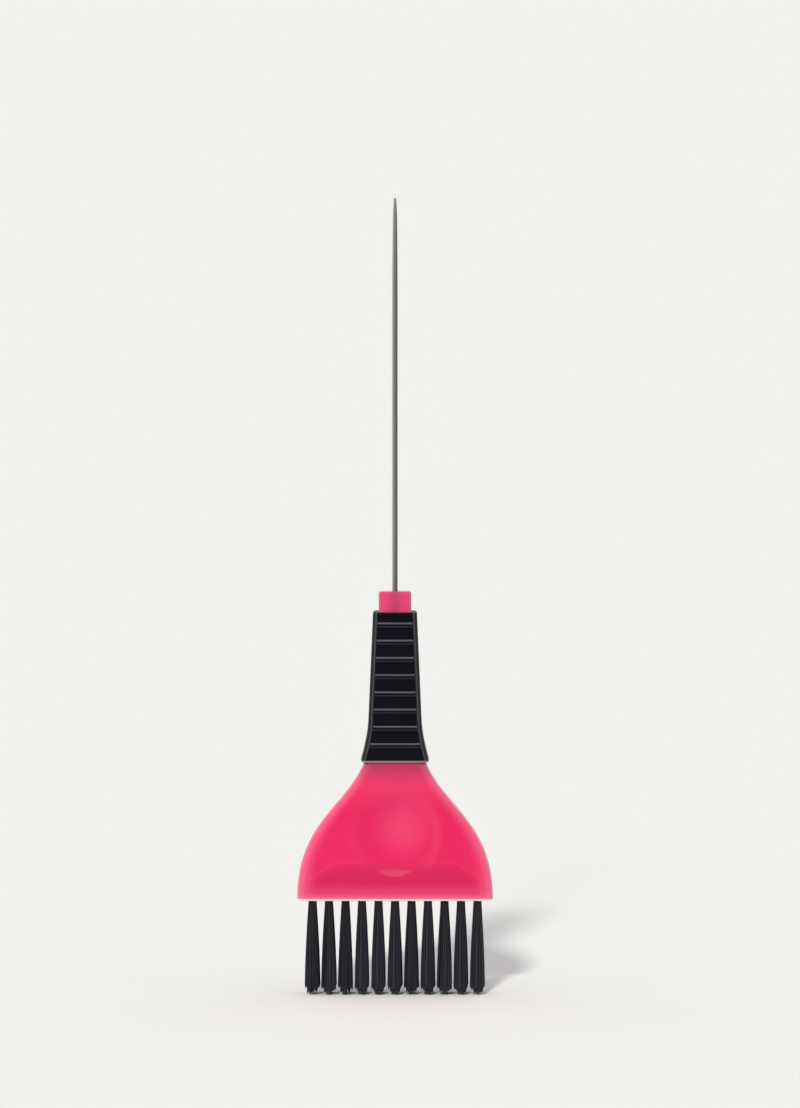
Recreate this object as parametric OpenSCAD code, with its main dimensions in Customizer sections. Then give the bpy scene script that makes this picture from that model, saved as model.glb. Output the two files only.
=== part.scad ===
// Tint brush with a steel pin tail.
// A flat, bell-shaped head holds three rows of bristle tufts. Its moulding runs on behind the head as
// a core, which a soft sleeve covers, and a tapered pin is set in the core's free end.
// The brush stands on its bristle tips: +Z runs up the pin, X across the head and Y through it.
// The front of the brush faces -Y.

/* [Head] */
// Width of the head at its widest
head_w = 57; // [47:0.5:69]
// Height of the head, from the tuft face to the seat of the sleeve
head_h = 40.5; // [33:0.5:49]
// Plastic left between the outer rows of holes and the face on each side
face_wall = 1.4; // [1:0.1:2]
// Width of the neck at the seat
neck_w = 18; // [15:0.5:22]
// Thickness of the neck at the seat
neck_d = 13; // [11:0.1:16]
// How far the neck's flare runs down before the shoulder turns it out
flare_drop = 13; // [10:0.5:16]
// How far out the flare leans over that drop
flare_lean = 5; // [3:0.25:6]
// How far up from the tuft face the head's upright sides pull the shoulder
shoulder_rise = 22; // [16:0.5:26]
// Rounding of the head's upright edges
head_edge_r = 3.4; // [2:0.1:4]
// Rounding of the edge around the tuft face
base_round = 0.8; // [0.2:0.1:1]

/* [Thumb rests] */
// Radius of the dished rest on each face of the head
rest_r = 12; // [8:0.5:14.5]
// Depth of the rest at its middle
rest_depth = 1.4; // [0.6:0.1:1.8]
// Height of the rest's middle above the tuft face
rest_rise = 19.5; // [15:0.5:22]

/* [Bristles] */
// Tufts in each row
columns = 11; // [7:1:12]
// Distance from the head's side to the middle of the nearest tuft
side_margin = 4.5; // [4:0.1:6]
// Gap left between neighbouring tufts of a row where they are widest
column_gap = 0.55; // [0.3:0.05:1]
// Free length of the bristles below the tuft face
bristle_len = 27.5; // [20:0.5:35]
// Diameter of a tuft hole
tuft_hole_d = 2.4; // [2:0.1:2.9]
// Depth of a tuft hole
tuft_hole_depth = 8; // [6:0.5:10]
// Plastic left between the holes of neighbouring rows
hole_wall = 0.8; // [0.6:0.1:1.2]
// Radial clearance of a packed tuft in its hole
tuft_fit = 0.02; // [0.01:0.01:0.05]
// Diameter of a tuft's blunt end
tuft_end_d = 2; // [1:0.1:2.5]
// Height of the feathered end, where the tuft narrows
tuft_end_h = 2.6; // [1:0.1:4]
// Gap left between the flattened sides of neighbouring rows
row_gap = 0.2; // [0.1:0.05:0.4]

/* [Anchors] */
// How far an anchor bites into the hole's wall on each side
anchor_bite = 0.3; // [0.1:0.05:0.4]
// Thickness of the flat wire anchor that each tuft is folded over
anchor_t = 0.35; // [0.2:0.05:0.5]
// Height of the anchor
anchor_h = 1.6; // [1:0.1:2]
// Thickness of the fold between the anchor and the closed end of the hole
fold_t = 1; // [0.6:0.1:1.4]

/* [Core] */
// Width of the core
core_w = 9.5; // [8:0.1:11.5]
// Thickness of the core
core_d = 8.4; // [7:0.1:10]
// Radius of the core's upright edges
core_r = 2; // [1:0.1:3]
// Length of core that shows above the sleeve
stub_len = 6; // [4:0.5:10]
// Number of collars that lock the sleeve on the core
lock_count = 3; // [1:1:4]
// Height that a collar stands off the core
lock_rise = 0.5; // [0.2:0.1:0.6]
// Length of a collar along the core
lock_len = 1.6; // [1:0.1:2.5]

/* [Sleeve] */
// Length of the sleeve
sleeve_len = 43.5; // [36:0.5:53]
// Wall of the sleeve at its top
sleeve_wall = 1.65; // [1.4:0.05:2.5]
// Width that the even taper adds by the sleeve's foot
sleeve_taper_w = 3.7; // [0:0.1:5]
// Thickness that the even taper adds by the foot
sleeve_taper_d = 1.8; // [0:0.1:3]
// How far the flared foot stands out past the neck on each side
foot_overhang = 1; // [0.5:0.1:2]
// Length of the flared foot
sleeve_flare_len = 11.3; // [6:0.1:16]
// Rounding of the sleeve's upright edges
sleeve_edge_r = 2.6; // [1.6:0.1:3.2]
// Rounding of the sleeve's foot
sleeve_foot_round = 1; // [0.3:0.1:1.5]
// Rounding of the sleeve's top edge
sleeve_top_round = 0.5; // [0.2:0.1:0.8]
// Clearance between the sleeve and the core
sleeve_fit = 0.03; // [0.01:0.01:0.1]

/* [Grip panel] */
// Ribs across the recessed panel on each face
rib_count = 8; // [5:1:9]
// Height of a rib along the sleeve
rib_h = 1.4; // [0.8:0.1:2]
// Distance from the sleeve's top to the first rib
rib_start = 2.8; // [2:0.1:4]
// Distance from the last rib to the sleeve's foot
rib_end = 4.3; // [3:0.1:8]
// Depth of the panel below the rims
panel_depth = 0.6; // [0.3:0.05:0.7]
// Width of the rim at each side of the panel
rim_w = 1.3; // [0.8:0.1:2]
// Height of the rim above and below the panel
rim_h = 0.8; // [0.4:0.1:1.5]

/* [Pin] */
// Diameter of the pin where it is straight
pin_d = 1.5; // [1.2:0.05:2.2]
// Length of pin that shows above the core
pin_out = 114; // [90:1:137]
// Length of pin held in the core
pin_in = 30; // [20:1:36]
// How far the thicker root that the core holds stands out past the pin on each side
root_step = 0.25; // [0.2:0.05:0.4]
// Length of the tapered end
pin_taper = 40; // [15:1:60]
// Diameter at the end of the taper, before the rounded tip
pin_tip_d = 0.7; // [0.5:0.05:1]
// Number of grooves that the moulding grips
groove_count = 3; // [1:1:5]
// Depth of a groove
groove_depth = 0.3; // [0.1:0.05:0.35]
// Length of a groove, and of the land between two
groove_len = 1.2; // [0.6:0.1:2]

/* [Hidden] */
ROW_NAMES = ["front", "middle", "back"];
ROWS = [0:len(ROW_NAMES) - 1];
COLUMNS = [1:columns];
function tuft_name(row, column) = str("tuft_", ROW_NAMES[row], "_", column < 10 ? "0" : "", column);
function anchors_name(row) = str("anchors_", ROW_NAMES[row]);

ROUND = 48;        // facets of a drawn circle
CORNER_STEPS = 8;  // steps around one corner of a lofted section
FLANK_STEPS = 24;  // sections down the head
SLEEVE_STEPS = 14; // sections down the sleeve
EDGE_STEPS = 3;    // sections in a rounded edge
TIP_STEPS = 6;     // points in the pin's rounded tip
TAPER_STEPS = 12;  // points along the pin's taper
FLARE_POWER = 1.6; // how sharply the sleeve's foot turns out
PAST = 1;          // how far a cutter runs past the face it opens

// Spacing of the tufts, the head's thickness that they need, and a tuft's width at its widest
last_row = len(ROW_NAMES) - 1;
column_pitch = (head_w - 2 * side_margin) / (columns - 1);
row_pitch = tuft_hole_d + hole_wall;
head_base_d = last_row * row_pitch + tuft_hole_d + 2 * face_wall;
tuft_spread_d = column_pitch - column_gap;
anchor_w = tuft_hole_d + 2 * anchor_bite;

// The sleeve closes on the core at its top and covers the neck's edge at its foot
sleeve_top_w = core_w + 2 * sleeve_wall;
sleeve_top_d = core_d + 2 * sleeve_wall;
sleeve_flare_w = neck_w + 2 * foot_overhang - sleeve_top_w - sleeve_taper_w;
sleeve_flare_d = neck_d + 2 * foot_overhang - sleeve_top_d - sleeve_taper_d;
rib_pitch = (sleeve_len - rib_start - rib_end - rib_h) / (rib_count - 1);
lock_pitch = sleeve_len / (lock_count + 1);

// Heights up the brush
face_z = bristle_len;
seat_z = face_z + head_h;
sleeve_top_z = seat_z + sleeve_len;
stub_z = sleeve_top_z + stub_len;
pin_foot_z = stub_z - pin_in;
pin_top_z = stub_z + pin_out;
rest_z = face_z + rest_rise;
hole_end_z = face_z + tuft_hole_depth;
anchor_z = hole_end_z - fold_t - anchor_h;

function row_y(row) = (row - last_row / 2) * row_pitch;
function column_x(column) = (column - (columns + 1) / 2) * column_pitch;

// A rectangle with rounded corners at height z, as a ring of points that runs anticlockwise
function section(half_w, half_d, corner_r, z) = [
    for (corner = [0:3], i = [0:CORNER_STEPS])
        let (
            a = 90 * (corner + i / CORNER_STEPS),
            side_x = corner == 0 || corner == 3 ? 1 : -1,
            side_y = corner < 2 ? 1 : -1
        )
        [side_x * (half_w - corner_r) + corner_r * cos(a), side_y * (half_d - corner_r) + corner_r * sin(a), z]
];

// [inset, rise] pairs that round an outer edge, from the face to the side
function edge_round(radius) = [
    for (i = [0:EDGE_STEPS]) let (a = 90 * i / EDGE_STEPS) [radius * (1 - sin(a)), radius * (1 - cos(a))]
];

// A closed skin over a stack of rings, listed from the lowest up
module loft(rings) {
    n = len(rings[0]);
    top = len(rings) - 1;
    skin = [
        for (j = [0:top - 1], i = [0:n - 1])
            [j * n + i, (j + 1) * n + i, (j + 1) * n + (i + 1) % n, j * n + (i + 1) % n]
    ];
    foot_cap = [for (i = [0:n - 1]) i];
    top_cap = [for (i = [n - 1:-1:0]) top * n + i];
    polyhedron([for (ring = rings) each ring], concat([foot_cap, top_cap], skin));
}

// A rectangle with rounded corners, swept up Z
module rounded_bar(w, d, r, h) {
    linear_extrude(h) {
        square([w - 2 * r, d], center = true);
        square([w, d - 2 * r], center = true);
        for (x = [-1, 1], y = [-1, 1])
            translate([x * (w / 2 - r), y * (d / 2 - r)])
                circle(r, $fn = ROUND);
    }
}

// ---- Head -------------------------------------------------------------------------------------

// The head's flank, as a Bezier curve of [half width, height] from the seat down to the base
FLANK = [
    [neck_w / 2, seat_z],
    [neck_w / 2 + flare_lean, seat_z - flare_drop],
    [head_w / 2, face_z + base_round + shoulder_rise],
    [head_w / 2, face_z + base_round],
];
function flank(t) = pow(1 - t, 3) * FLANK[0] + 3 * pow(1 - t, 2) * t * FLANK[1]
    + 3 * (1 - t) * t * t * FLANK[2] + pow(t, 3) * FLANK[3];
function head_half_d(z) = let (t = (z - face_z) / head_h) (head_base_d * (1 - t) + neck_d * t) / 2;

module head_shell() {
    base_rings = [
        for (edge = edge_round(base_round))
            section(
                head_w / 2 - edge[0], head_half_d(face_z) - edge[0], head_edge_r - edge[0], face_z + edge[1]
            )
    ];
    flank_rings = [
        for (i = [FLANK_STEPS - 1:-1:0])
            let (p = flank(i / FLANK_STEPS))
            section(p[0], head_half_d(p[1]), head_edge_r, p[1])
    ];
    loft(concat(base_rings, flank_rings));
}

// The ball that dishes a thumb rest into the face on one side, -1 for the front and 1 for the back
module rest_cutter(side) {
    ball_r = (rest_r * rest_r + rest_depth * rest_depth) / (2 * rest_depth);
    translate([0, side * (head_half_d(rest_z) - rest_depth + ball_r), rest_z])
        sphere(ball_r, $fn = 2 * ROUND);
}

module tuft_hole(row, column) {
    translate([column_x(column), row_y(row), face_z - PAST])
        cylinder(h = tuft_hole_depth + PAST, d = tuft_hole_d, $fn = ROUND);
}

// ---- Core -------------------------------------------------------------------------------------

function lock_z(i) = seat_z + (i + 1) * lock_pitch;

// The core and its locking collars, grown all round by a clearance
module core(fit) {
    translate([0, 0, seat_z - PAST])
        rounded_bar(core_w + 2 * fit, core_d + 2 * fit, core_r + fit, stub_z - seat_z + PAST);
    grown = lock_rise + fit;
    for (i = [0:lock_count - 1])
        translate([0, 0, lock_z(i) - lock_len / 2 - fit])
            rounded_bar(core_w + 2 * grown, core_d + 2 * grown, core_r + grown, lock_len + 2 * fit);
}

// Head and core, one moulding
module brush_body() {
    color("#f0356a")
        difference() {
            union() {
                head_shell();
                core(0);
            }
            for (side = [-1, 1])
                rest_cutter(side);
            for (row = ROWS, column = COLUMNS) {
                tuft_hole(row, column);
                anchor(row, column);
            }
            pin_shape();
        }
}

// ---- Bristles ---------------------------------------------------------------------------------

// The flat wire that pins a folded tuft in its hole and bites into the hole's walls
module anchor(row, column) {
    translate([column_x(column) - anchor_w / 2, row_y(row) - anchor_t / 2, anchor_z])
        cube([anchor_w, anchor_t, anchor_h]);
}

module anchor_row(row) {
    color("#c9c6bd")
        for (column = COLUMNS)
            anchor(row, column);
}

// Free bristles: a spreading cone with a feathered end, standing on z = 0
module tuft_spread() {
    cylinder(h = tuft_end_h, d1 = tuft_end_d, d2 = tuft_spread_d, $fn = ROUND);
    translate([0, 0, tuft_end_h])
        cylinder(h = face_z - tuft_end_h, d1 = tuft_spread_d, d2 = tuft_hole_d, $fn = ROUND);
}

// The room a row has before it meets the rows beside it. The outer rows are free on their outer side.
module row_room(row) {
    squeezed = (row_pitch - row_gap) / 2;
    front = row == 0 ? tuft_spread_d : squeezed;
    back = row == last_row ? tuft_spread_d : squeezed;
    translate([-tuft_spread_d, -front, 0])
        cube([2 * tuft_spread_d, front + back, hole_end_z]);
}

// One bundle of filaments, folded over its anchor
module bristle_tuft(row, column) {
    packed_r = tuft_hole_d / 2 - tuft_fit;
    color("#1b1c22")
        difference() {
            translate([column_x(column), row_y(row), 0])
                intersection() {
                    union() {
                        tuft_spread();
                        cylinder(h = hole_end_z - tuft_fit, r = packed_r, $fn = ROUND);
                    }
                    row_room(row);
                }
            anchor(row, column);
        }
}

// ---- Sleeve -----------------------------------------------------------------------------------

// Share of the flare that has been reached at a height, from 0 above the foot to 1 at its end
function flare_share(z) = pow(max(0, 1 - (z - seat_z) / sleeve_flare_len), FLARE_POWER);
function taper_share(z) = (sleeve_top_z - z) / sleeve_len;
function sleeve_half_w(z) =
    (sleeve_top_w + sleeve_taper_w * taper_share(z) + sleeve_flare_w * flare_share(z)) / 2;
function sleeve_half_d(z) =
    (sleeve_top_d + sleeve_taper_d * taper_share(z) + sleeve_flare_d * flare_share(z)) / 2;

// One section of the sleeve, drawn in on the sides and on the faces
function sleeve_section(z, in_w, in_d) =
    section(sleeve_half_w(z) - in_w, sleeve_half_d(z) - in_d, sleeve_edge_r - min(in_w, in_d), z);

// The sleeve's outer form, drawn in on the sides and on the faces
module sleeve_form(in_w, in_d) {
    low_z = seat_z + sleeve_foot_round;
    high_z = sleeve_top_z - sleeve_top_round;
    foot = [
        for (edge = edge_round(sleeve_foot_round))
            sleeve_section(seat_z + edge[1], in_w + edge[0], in_d + edge[0])
    ];
    // Steps are closer in the flared foot, where the outline turns
    side = [
        for (i = [1:SLEEVE_STEPS - 1])
            sleeve_section(low_z + (high_z - low_z) * pow(i / SLEEVE_STEPS, FLARE_POWER), in_w, in_d)
    ];
    edges = edge_round(sleeve_top_round);
    top = [
        for (i = [len(edges) - 1:-1:0])
            sleeve_section(sleeve_top_z - edges[i][1], in_w + edges[i][0], in_d + edges[i][0])
    ];
    loft(concat(foot, side, top));
}

// Outline of the grip panel, inside its rims and open between the ribs, in X and Z
module panel_outline() {
    low_z = seat_z + rim_h;
    high_z = sleeve_top_z - rim_h;
    heights = [for (i = [0:SLEEVE_STEPS]) low_z + (high_z - low_z) * i / SLEEVE_STEPS];
    right = [for (z = heights) [sleeve_half_w(z) - rim_w, z]];
    left = [for (i = [SLEEVE_STEPS:-1:0]) [-right[i][0], right[i][1]]];
    difference() {
        polygon(concat(right, left));
        for (i = [0:rib_count - 1])
            translate([0, sleeve_top_z - rib_start - i * rib_pitch - rib_h / 2])
                square([2 * sleeve_half_w(seat_z), rib_h], center = true);
    }
}

// The pockets between the ribs, through both faces
module panel_pockets() {
    depth = 2 * sleeve_half_d(seat_z) + PAST;
    rotate([90, 0, 0])
        linear_extrude(depth, center = true)
            panel_outline();
}

module grip_sleeve() {
    color("#1a1c26")
        difference() {
            union() {
                difference() {
                    sleeve_form(0, 0);
                    panel_pockets();
                }
                sleeve_form(rim_w / 2, panel_depth);
            }
            core(sleeve_fit);
        }
}

// ---- Pin --------------------------------------------------------------------------------------

// The pin's solid, which is also the shape of its seat in the core
module pin_shape() {
    r = pin_d / 2;
    tip_r = pin_tip_d / 2;
    root_r = r + root_step;
    groove_r = root_r - groove_depth;
    grooves = [
        for (i = [0:groove_count - 1])
            let (z = pin_foot_z + groove_len * (1 + 2 * i))
            each [[root_r, z], [groove_r, z], [groove_r, z + groove_len], [root_r, z + groove_len]]
    ];
    root = concat([[0, pin_foot_z], [root_r, pin_foot_z]], grooves, [[root_r, stub_z], [r, stub_z]]);
    taper_z = pin_top_z - tip_r - pin_taper;
    taper = [
        for (i = [0:TAPER_STEPS])
            let (share = i / TAPER_STEPS)
            [tip_r + (r - tip_r) * sqrt(1 - share * share), taper_z + pin_taper * share]
    ];
    tip = [
        for (i = [1:TIP_STEPS])
            let (a = 90 * i / TIP_STEPS)
            [tip_r * cos(a), pin_top_z - tip_r + tip_r * sin(a)]
    ];
    rotate_extrude($fn = ROUND)
        polygon(concat(root, taper, tip));
}

module pin_tail() {
    color("#8d8982")
        pin_shape();
}

// ---- Nodes ------------------------------------------------------------------------------------

brush_body();
grip_sleeve();
pin_tail();
for (row = ROWS)
    anchor_row(row);
for (row = ROWS, column = COLUMNS)
    bristle_tuft(row, column);
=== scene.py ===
# %% [markdown]
# # Tint brush with a pin tail
# A hair colourist paints tint on with the bristles of this brush and parts the hair with its pin.
# The CAD model already has the sizes, so this script dresses that model: it builds a finer piece in
# place of each CAD solid that shows, gives each one a finish, and lights the brush in a small
# studio. Lengths are in metres, with +Z up the pin, X across the head and its front towards -Y.

# %% Start from the CAD frame
import math
import random

import bmesh
import bpy
from mathutils import Matrix, Vector


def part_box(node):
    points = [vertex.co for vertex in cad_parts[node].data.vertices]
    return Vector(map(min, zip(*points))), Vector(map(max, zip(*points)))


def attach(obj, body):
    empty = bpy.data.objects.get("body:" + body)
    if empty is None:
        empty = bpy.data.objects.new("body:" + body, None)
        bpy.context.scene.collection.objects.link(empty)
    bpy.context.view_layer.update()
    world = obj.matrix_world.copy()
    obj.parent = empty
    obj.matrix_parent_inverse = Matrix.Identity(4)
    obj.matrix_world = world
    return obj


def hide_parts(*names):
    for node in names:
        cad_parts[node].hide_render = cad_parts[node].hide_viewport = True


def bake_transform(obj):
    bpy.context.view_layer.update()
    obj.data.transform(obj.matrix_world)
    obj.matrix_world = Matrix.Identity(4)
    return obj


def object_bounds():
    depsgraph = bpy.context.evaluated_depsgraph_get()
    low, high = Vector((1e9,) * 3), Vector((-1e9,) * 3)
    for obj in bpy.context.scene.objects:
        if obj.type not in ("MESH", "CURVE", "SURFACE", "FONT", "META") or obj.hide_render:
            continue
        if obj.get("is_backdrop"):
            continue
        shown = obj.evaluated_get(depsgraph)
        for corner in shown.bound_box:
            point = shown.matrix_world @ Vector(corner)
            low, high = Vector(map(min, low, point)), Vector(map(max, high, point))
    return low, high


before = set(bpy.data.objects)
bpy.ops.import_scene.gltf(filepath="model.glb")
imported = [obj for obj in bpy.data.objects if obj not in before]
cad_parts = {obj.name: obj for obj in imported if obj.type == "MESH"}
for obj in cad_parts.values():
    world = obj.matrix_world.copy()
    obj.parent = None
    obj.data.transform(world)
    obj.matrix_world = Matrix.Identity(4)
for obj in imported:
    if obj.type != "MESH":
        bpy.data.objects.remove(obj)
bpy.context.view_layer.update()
MM = 0.001
TINY = 0.002 * MM

# %% [markdown]
# The pieces take their places from the CAD nodes. Each node's lowest and highest corner says where
# the tuft face, the neck, the sleeve, the core's free end and the pin's ends are, so nothing has to
# be fitted by eye.

# %% Places from the frame
body_low, body_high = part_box("brush_body")
sleeve_low, sleeve_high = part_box("grip_sleeve")
pin_low, pin_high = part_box("pin_tail")
face_z = body_low.z
stub_z = body_high.z
seat_z = sleeve_low.z
sleeve_top_z = sleeve_high.z
print("tuft face", face_z, "neck", seat_z, "sleeve top", sleeve_top_z, "core end", stub_z)

# %% [markdown]
# ## Working in edit mode
# Modelling by hand is a loop of two moves: select a part of the mesh, then let an operator act on it.
# These helpers do the selecting. `pick` takes the kind of element and a test, which is given each
# element and its middle, and selects those that pass, much as a box selection does.

# %% Helpers that select and edit
PARTS = {"VERT": "verts", "EDGE": "edges", "FACE": "faces"}


def alone(piece):
    """Makes a piece the only selected object, and the active one, in object mode."""
    if bpy.context.object and bpy.context.object.mode != "OBJECT":
        bpy.ops.object.mode_set(mode="OBJECT")
    bpy.ops.object.select_all(action="DESELECT")
    piece.select_set(True)
    bpy.context.view_layer.objects.active = piece


def middle_of(part):
    """A vertex's place, or the mean of an edge's or a face's corners."""
    if isinstance(part, bmesh.types.BMVert):
        return part.co
    corners = [vert.co for vert in part.verts]
    return sum(corners[1:], corners[0].copy()) / len(corners)


def pick(kind, wanted):
    """Selects the elements of the edited mesh that pass a test, and nothing else."""
    bpy.ops.mesh.select_mode(type=kind)
    bpy.ops.mesh.select_all(action="DESELECT")
    mesh = bmesh.from_edit_mesh(bpy.context.edit_object.data)
    chosen = [part for part in getattr(mesh, PARTS[kind]) if wanted(part, middle_of(part))]
    for part in chosen:
        part.select = True
    mesh.select_flush_mode()
    bmesh.update_edit_mesh(bpy.context.edit_object.data)
    return len(chosen)


def round_rim(z, radius, segments):
    """Rounds the outline of the flat face that lies at a height."""
    pick("FACE", lambda face, at: abs(at.z - z) < TINY and abs(face.normal.z) > 0.99)
    bpy.ops.mesh.dissolve_faces()
    bpy.ops.mesh.region_to_loop()
    bpy.ops.mesh.bevel(offset=radius, segments=segments, affect="EDGES")


def apply_modifier(piece, kind, **settings):
    """Adds a modifier with its settings and applies it at once."""
    alone(piece)
    modifier = piece.modifiers.new(kind.title(), kind)
    for name, value in settings.items():
        setattr(modifier, name, value)
    bpy.ops.object.modifier_apply(modifier=modifier.name)


def combine(piece, tool, operation):
    """A Boolean between a piece and a tool, which is then thrown away."""
    apply_modifier(piece, "BOOLEAN", operation=operation, object=tool, solver="EXACT")
    bpy.data.objects.remove(tool)


def smooth(piece, degrees):
    """Shades a piece smoothly, except over edges that are sharper than an angle."""
    alone(piece)
    bpy.ops.object.shade_smooth_by_angle(angle=math.radians(degrees))


# %% [markdown]
# The head, the core and the sleeve are all bars with a rounded rectangular section whose size
# changes along the bar. A scaled copy of a section would squash its corner arcs, so the arcs are
# moved as groups instead, and only the flat stretch between them is stretched. `tower` starts from
# a plane with rounded corners and extrudes it up from one size to the next.

# %% A tower of rounded sections
def rounded_plate(name, start, radius, arc_steps, columns):
    """A flat rounded rectangle in edit mode. start is (height, half width, half thickness)."""
    z, half_w, half_d = start
    bpy.ops.object.select_all(action="DESELECT")
    bpy.ops.mesh.primitive_plane_add(size=2, location=(0, 0, z))
    plate = bpy.context.object
    plate.name = plate.data.name = name
    plate.scale = (half_w, half_d, 1)
    bpy.ops.object.transform_apply(location=True, rotation=True, scale=True)
    bpy.ops.object.mode_set(mode="EDIT")
    bpy.ops.mesh.select_all(action="SELECT")
    bpy.ops.mesh.bevel(offset=radius, segments=arc_steps, affect="VERTICES")
    if columns > 1:
        pick("EDGE", lambda edge, at: abs(at.x) < TINY)
        bpy.ops.mesh.subdivide(number_cuts=columns - 1)
    return plate


def raise_section(before, after, radius):
    """Extrudes the top face from one section to the next and resizes it, with its arcs kept."""
    z0, w0, d0 = before
    z1, w1, d1 = after
    pick("FACE", lambda face, at: abs(at.z - z0) < TINY and face.normal.z > 0.9)
    bpy.ops.mesh.extrude_region_move(TRANSFORM_OT_translate={"value": (0, 0, z1 - z0)})
    arcs = w0 - radius - TINY
    if abs(w1 - w0) > TINY:
        for side in (-1, 1):
            pick("VERT", lambda vert, at: abs(at.z - z1) < TINY and at.x * side > arcs)
            bpy.ops.transform.translate(value=(side * (w1 - w0), 0, 0))
        stretch = (w1 - radius) / (w0 - radius)
        flat = min(arcs, w1 - radius - TINY)
        if pick("VERT", lambda vert, at: abs(at.z - z1) < TINY and abs(at.x) < flat):
            bpy.ops.transform.resize(value=(stretch, 1, 1), center_override=(0, 0, z1))
    if abs(d1 - d0) > TINY:
        for side in (-1, 1):
            pick("VERT", lambda vert, at: abs(at.z - z1) < TINY and at.y * side > 0)
            bpy.ops.transform.translate(value=(0, side * (d1 - d0), 0))


def tower(name, sections, radius, arc_steps, columns=1):
    """A closed bar through a list of (height, half width, half thickness), left in edit mode."""
    bar = rounded_plate(name, sections[0], radius, arc_steps, columns)
    for before, after in zip(sections, sections[1:]):
        raise_section(before, after, radius)
    return bar


# %% [markdown]
# ## The head
# The head is injection moulded in a translucent pink plastic, bell-shaped from the front and only
# as thick as three rows of bristles need. Its flank is one S-curve, which a cubic Bezier gives with
# four points. A subdivision surface over a coarse cage would round everything a little, so the cage
# is already fine, about 1 mm a step, and one level of subdivision only takes its facets away.

# %% The flank's curve
BASE_HALF_D = 5.8 * MM
EDGE_R = 3.4 * MM
BASE_ROUND = 0.8 * MM
NECK_HALF_W = 9 * MM
NECK_HANDLE_X = 5 * MM
NECK_HANDLE_Z = 13 * MM
BASE_HANDLE_Z = 22 * MM
FLANK = [
    (NECK_HALF_W, seat_z),
    (NECK_HALF_W + NECK_HANDLE_X, seat_z - NECK_HANDLE_Z),
    (body_high.x, face_z + BASE_ROUND + BASE_HANDLE_Z),
    (body_high.x, face_z + BASE_ROUND),
]


def flank_point(t):
    """A point of the flank as (half width, height), from the neck at 0 to the base at 1."""
    weights = [(1 - t) ** 3, 3 * (1 - t) ** 2 * t, 3 * (1 - t) * t * t, t**3]
    return tuple(sum(weight * point[i] for weight, point in zip(weights, FLANK)) for i in (0, 1))


def half_width(z):
    """The head's half width at a height, found by halving the curve."""
    low, high = 0.0, 1.0
    for _ in range(24):
        t = (low + high) / 2
        low, high = (t, high) if flank_point(t)[1] > z else (low, t)
    return flank_point((low + high) / 2)[0]


def half_depth(z):
    """The head's half thickness at a height, which grows evenly from the base to the neck."""
    share = (z - face_z) / (seat_z - face_z)
    return BASE_HALF_D + (body_high.y - BASE_HALF_D) * share


# %% [markdown]
# Each face has a round, shallow thumb rest. It is made as a sculptor would: one vertex in the middle
# is pushed in, and proportional editing takes its neighbours along. The inverse square falloff is a
# parabola, which is close to the hollow of a ball. A level of the tower lies at the rest's middle so
# that the pushed vertex is exactly there, and one close under the neck keeps the neck's edge crisp.

# %% The head's shell
REST_R = 12.8 * MM
REST_DEPTH = 1.55 * MM
REST_HEIGHT = 19.5 * MM
NECK_LINE = 0.15 * MM
HEAD_COLUMNS = 40
LEVELS_BELOW_REST = 22
LEVELS_ABOVE_REST = 25
ARC_STEPS = 6
rest_z = face_z + REST_HEIGHT


def spaced(low, high, steps):
    """Heights at even steps above low, up to high."""
    return [low + (high - low) * i / steps for i in range(1, steps + 1)]


heights = [face_z, face_z + BASE_ROUND]
heights += spaced(face_z + BASE_ROUND, rest_z, LEVELS_BELOW_REST)
heights += spaced(rest_z, seat_z, LEVELS_ABOVE_REST)
heights.insert(-1, seat_z - NECK_LINE)
sections = [(z, half_width(max(z, face_z + BASE_ROUND)), half_depth(z)) for z in heights]
head = tower("brush_moulding", sections, EDGE_R, ARC_STEPS, columns=HEAD_COLUMNS)
for side in (-1, 1):
    rest_y = side * half_depth(rest_z)
    rest_middle = Vector((0, rest_y, rest_z))
    pick("VERT", lambda vert, at: (at - rest_middle).length < 0.2 * MM)
    bpy.ops.transform.translate(
        value=(0, -side * REST_DEPTH, 0),
        use_proportional_edit=True,
        proportional_edit_falloff="INVERSE_SQUARE",
        proportional_size=REST_R,
        use_proportional_connected=True,
    )
round_rim(face_z, BASE_ROUND, 3)
apply_modifier(head, "SUBSURF", levels=1, render_levels=1)
alone(head)
bpy.ops.object.mode_set(mode="EDIT")
pick("FACE", lambda face, at: abs(at.z - face_z) < TINY)
bpy.ops.mesh.dissolve_faces()
bpy.ops.object.mode_set(mode="OBJECT")
print("head shell", len(head.data.polygons), "faces")

# %% [markdown]
# ## The core
# Behind the neck the moulding runs on as a slim core, which shows above the sleeve as a short stub.
# Three collars lock the sleeve on it. The same tower makes the core and, with a small allowance all
# round, the tool that cuts the sleeve's bore, so the two always fit.

# %% Core and bore tool
CORE_HALF_W = 4.75 * MM
CORE_HALF_D = 4.2 * MM
CORE_R = 2 * MM
COLLARS = 3
COLLAR_RISE = 0.5 * MM
COLLAR_LEN = 1.6 * MM
COLLAR_SLOPE = 0.1 * MM
CORE_OVERLAP = 2 * MM
SLEEVE_FIT = 0.03 * MM
collar_pitch = (sleeve_top_z - seat_z) / (COLLARS + 1)


def core_bar(name, allowance, low_z, high_z):
    """The core and its collars, larger by an allowance all round."""
    plain = (CORE_HALF_W + allowance, CORE_HALF_D + allowance)
    raised = tuple(half + COLLAR_RISE for half in plain)
    levels = [(low_z, *plain)]
    for i in range(1, COLLARS + 1):
        middle = seat_z + i * collar_pitch
        half = COLLAR_LEN / 2 + allowance
        levels += [(middle - half, *plain), (middle - half + COLLAR_SLOPE, *raised)]
        levels += [(middle + half - COLLAR_SLOPE, *raised), (middle + half, *plain)]
    levels.append((high_z, *plain))
    return tower(name, levels, CORE_R + allowance, 5)


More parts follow.
